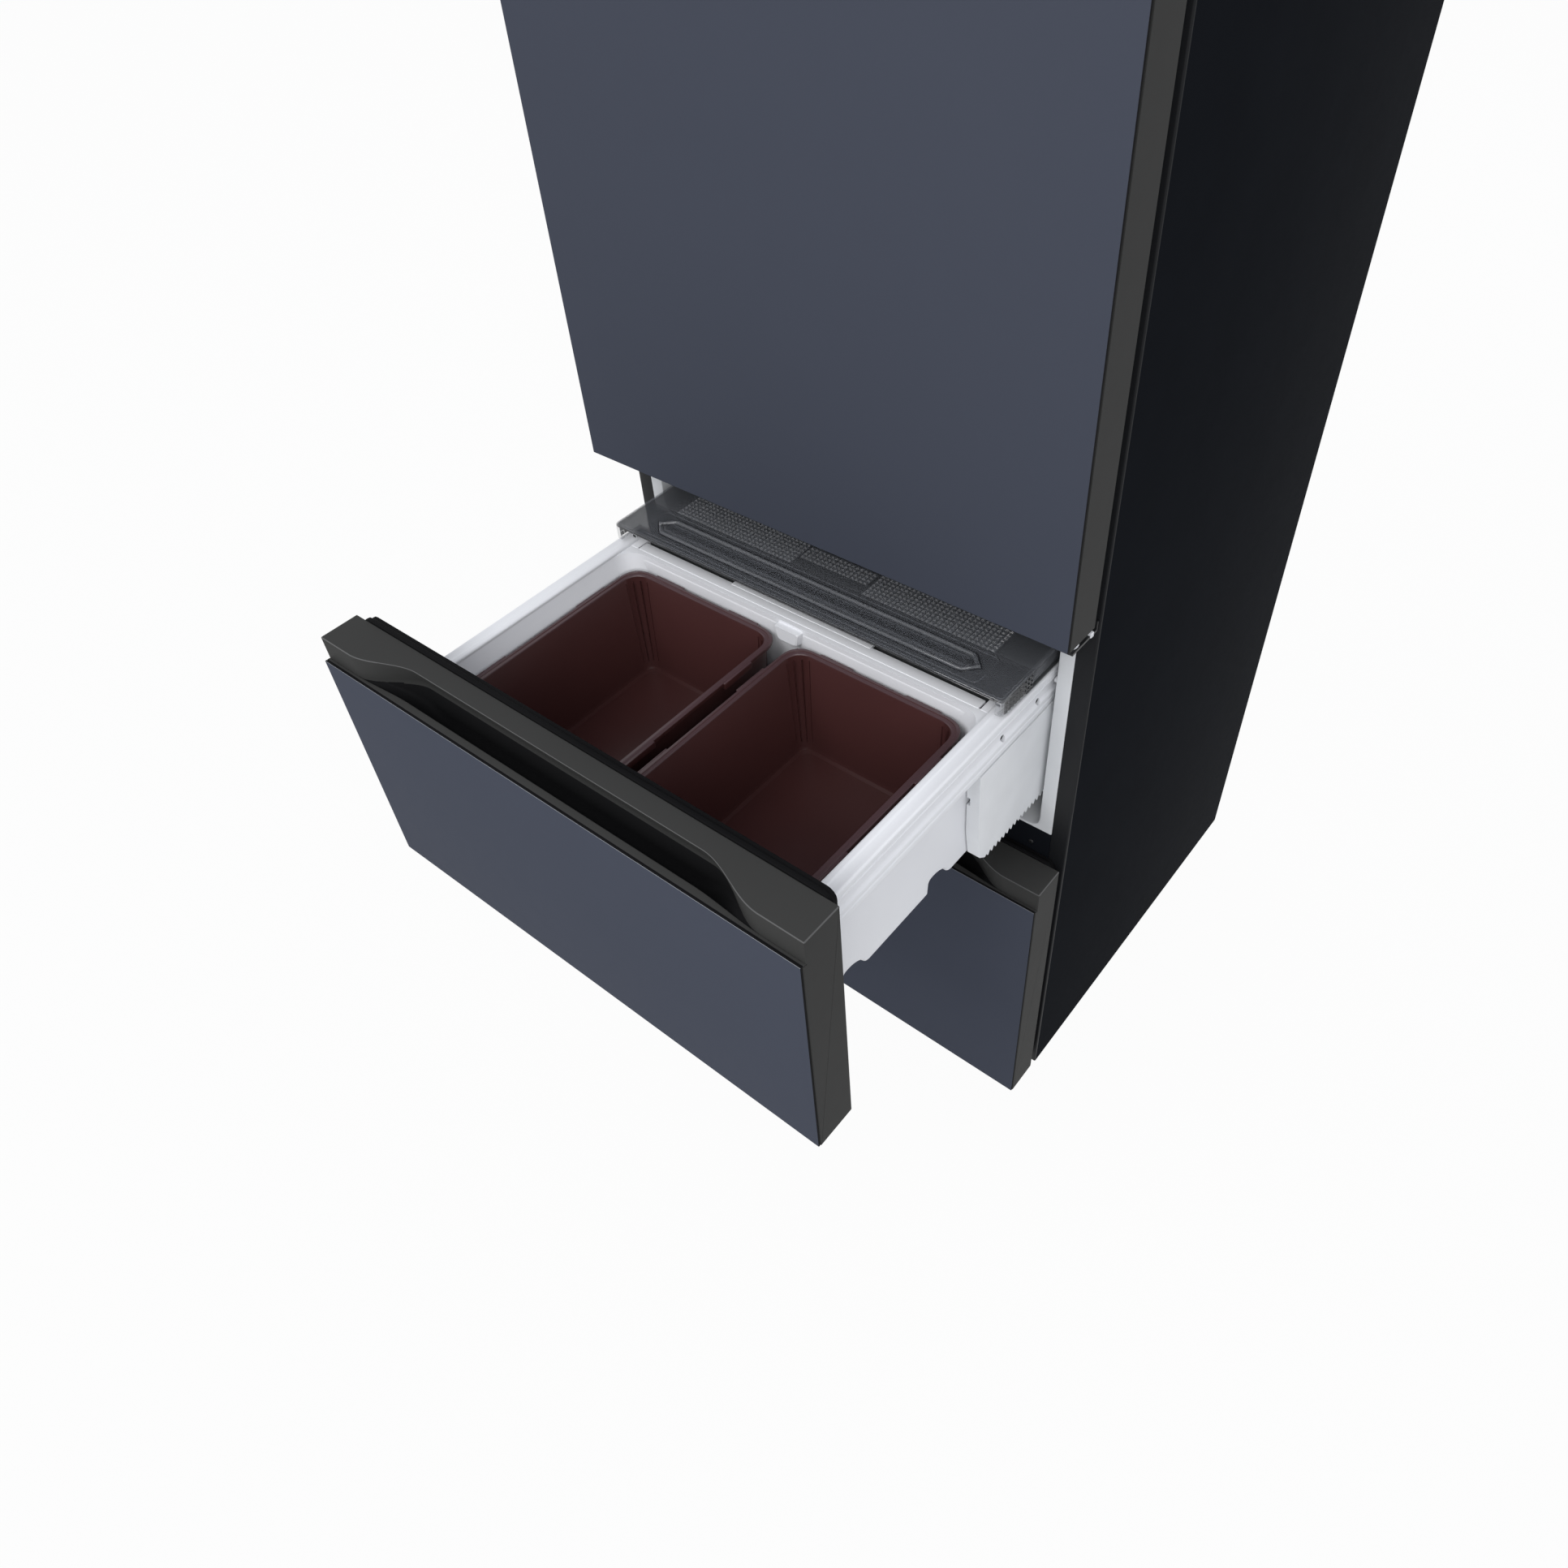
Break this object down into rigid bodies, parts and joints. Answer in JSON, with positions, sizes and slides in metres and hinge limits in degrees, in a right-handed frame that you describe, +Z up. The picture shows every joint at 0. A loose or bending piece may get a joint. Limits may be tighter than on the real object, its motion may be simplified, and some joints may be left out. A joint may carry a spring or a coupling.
{
  "type": "kimchi refrigerator",
  "caption": "Tall kimchi refrigerator with a hinged upper door above deep pull-out drawers that hold open containers under sliding covers.",
  "frame": {"origin": "centre of the footprint of the whole, with the middle drawer pulled out, on the floor under the feet", "axes": "+X to the right as seen from the front, +Y to the rear, +Z up"},
  "size_m": [0.695, 1.1254, 1.853],
  "materials": {
    "navy_panel": "satin",
    "charcoal": "satin",
    "black_steel": "satin",
    "white_plastic": "satin",
    "liner_white": "satin",
    "slide_white": "satin",
    "burgundy": "satin",
    "deck_grey": "matte",
    "seal_black": "matte",
    "foot_black": "matte",
    "foam": "matte",
    "zinc": "satin",
    "dark_metal": "satin",
    "copper": "satin",
    "aluminium": "satin",
    "gear_grey": "satin",
    "clear_glass": "gloss",
    "smoke_clear": "gloss",
    "lamp": "satin"
  },
  "bodies": {
    "cabinet": {"outer_casing": "black_steel", "rear_panel": "zinc", "base_pan": "dark_metal", "cabinet_foam": "foam", "upper_liner": "liner_white", "middle_liner": "liner_white", "lower_liner": "liner_white", "upper_mullion": "black_steel", "lower_mullion": "black_steel", "front_foot_left": "foot_black", "front_foot_right": "foot_black", "rear_foot_left": "foot_black", "rear_foot_right": "foot_black", "compressor": "dark_metal", "condenser_coil": "copper", "fan_shroud": "deck_grey", "machine_room_cover": "zinc", "top_hinge_bracket": "zinc", "top_hinge_cover": "charcoal", "middle_hinge_bracket": "dark_metal", "duct_cover": "white_plastic", "evaporator": "aluminium", "glass_shelf_1": "clear_glass", "glass_shelf_2": "clear_glass", "glass_shelf_3": "clear_glass", "interior_lamp": "lamp"},
    "upper_door": {"upper_door_panel": "navy_panel", "upper_door_case": "charcoal", "upper_door_foam": "foam", "upper_door_liner": "liner_white", "upper_door_gasket": "seal_black", "door_bin_1": "white_plastic", "door_bin_2": "white_plastic", "door_bin_3": "white_plastic"},
    "middle_drawer": {"middle_front_panel": "navy_panel", "middle_front_case": "charcoal", "middle_front_foam": "foam", "middle_gasket": "seal_black", "middle_bin": "white_plastic", "middle_rear_deck": "deck_grey", "middle_container_left": "burgundy", "middle_container_right": "burgundy"},
    "middle_slides": {"middle_slide_left": "slide_white", "middle_slide_right": "slide_white"},
    "middle_drawer_cover": {"middle_cover": "smoke_clear"},
    "middle_pinions": {"middle_pinion_shaft": "gear_grey"},
    "lower_drawer": {"lower_front_panel": "navy_panel", "lower_front_case": "charcoal", "lower_front_foam": "foam", "lower_gasket": "seal_black", "lower_bin": "white_plastic", "lower_rear_deck": "deck_grey", "lower_container_left": "burgundy", "lower_container_right": "burgundy"},
    "lower_slides": {"lower_slide_left": "slide_white", "lower_slide_right": "slide_white"},
    "lower_drawer_cover": {"lower_cover": "smoke_clear"},
    "lower_pinions": {"lower_pinion_shaft": "gear_grey"},
    "condenser_fan": {"condenser_fan_rotor": "white_plastic"},
    "evaporator_fan": {"evaporator_fan_rotor": "white_plastic"}
  },
  "joints": [
    {"name": "upper_door_hinge", "type": "hinge", "parent": "cabinet", "child": "upper_door", "pos_m": [0.332, -0.1029, 1.372], "axis": [0, 0, 1], "range_deg": [0, 115]},
    {"name": "middle_drawer_slide", "type": "slide", "parent": "cabinet", "child": "middle_drawer", "axis": [0, -1, 0], "range_m": [-0.432, 0]},
    {"name": "middle_half_slide", "type": "slide", "parent": "cabinet", "child": "middle_slides", "axis": [0, -1, 0], "range_m": [-0.2165, 0.0005]},
    {"name": "middle_cover_slide", "type": "slide", "parent": "cabinet", "child": "middle_drawer_cover", "axis": [0, -1, 0], "range_m": [-0.1115, 0.0005]},
    {"name": "middle_pinion_turn", "type": "hinge", "parent": "cabinet", "child": "middle_pinions", "pos_m": [0, 0.0875, 0.58717], "axis": [1, 0, 0], "range_deg": [-916, 1]},
    {"name": "lower_drawer_slide", "type": "slide", "parent": "cabinet", "child": "lower_drawer", "axis": [0, -1, 0], "range_m": [0, 0.432]},
    {"name": "lower_half_slide", "type": "slide", "parent": "cabinet", "child": "lower_slides", "axis": [0, -1, 0], "range_m": [-0.0005, 0.2165]},
    {"name": "lower_cover_slide", "type": "slide", "parent": "cabinet", "child": "lower_drawer_cover", "axis": [0, -1, 0], "range_m": [-0.0005, 0.1115]},
    {"name": "lower_pinion_turn", "type": "hinge", "parent": "cabinet", "child": "lower_pinions", "pos_m": [0, 0.0875, 0.11197], "axis": [1, 0, 0], "range_deg": [-1, 916]},
    {"name": "condenser_fan_spin", "type": "hinge", "parent": "cabinet", "child": "condenser_fan", "pos_m": [-0.206, 0.4625, 0.137], "axis": [1, 0, 0], "continuous": true},
    {"name": "evaporator_fan_spin", "type": "hinge", "parent": "cabinet", "child": "evaporator_fan", "pos_m": [0, 0.4645, 1.56], "axis": [0, 1, 0], "continuous": true}
  ],
  "couplings": [
    {"joint": "middle_half_slide", "follows": "middle_drawer_slide", "ratio": 0.5},
    {"joint": "middle_cover_slide", "follows": "middle_drawer_slide", "ratio": 0.25694},
    {"joint": "middle_pinion_turn", "follows": "middle_drawer_slide", "rad_per_m": 36.96},
    {"joint": "lower_half_slide", "follows": "lower_drawer_slide", "ratio": 0.5},
    {"joint": "lower_cover_slide", "follows": "lower_drawer_slide", "ratio": 0.25694},
    {"joint": "lower_pinion_turn", "follows": "lower_drawer_slide", "rad_per_m": 36.96}
  ]
}
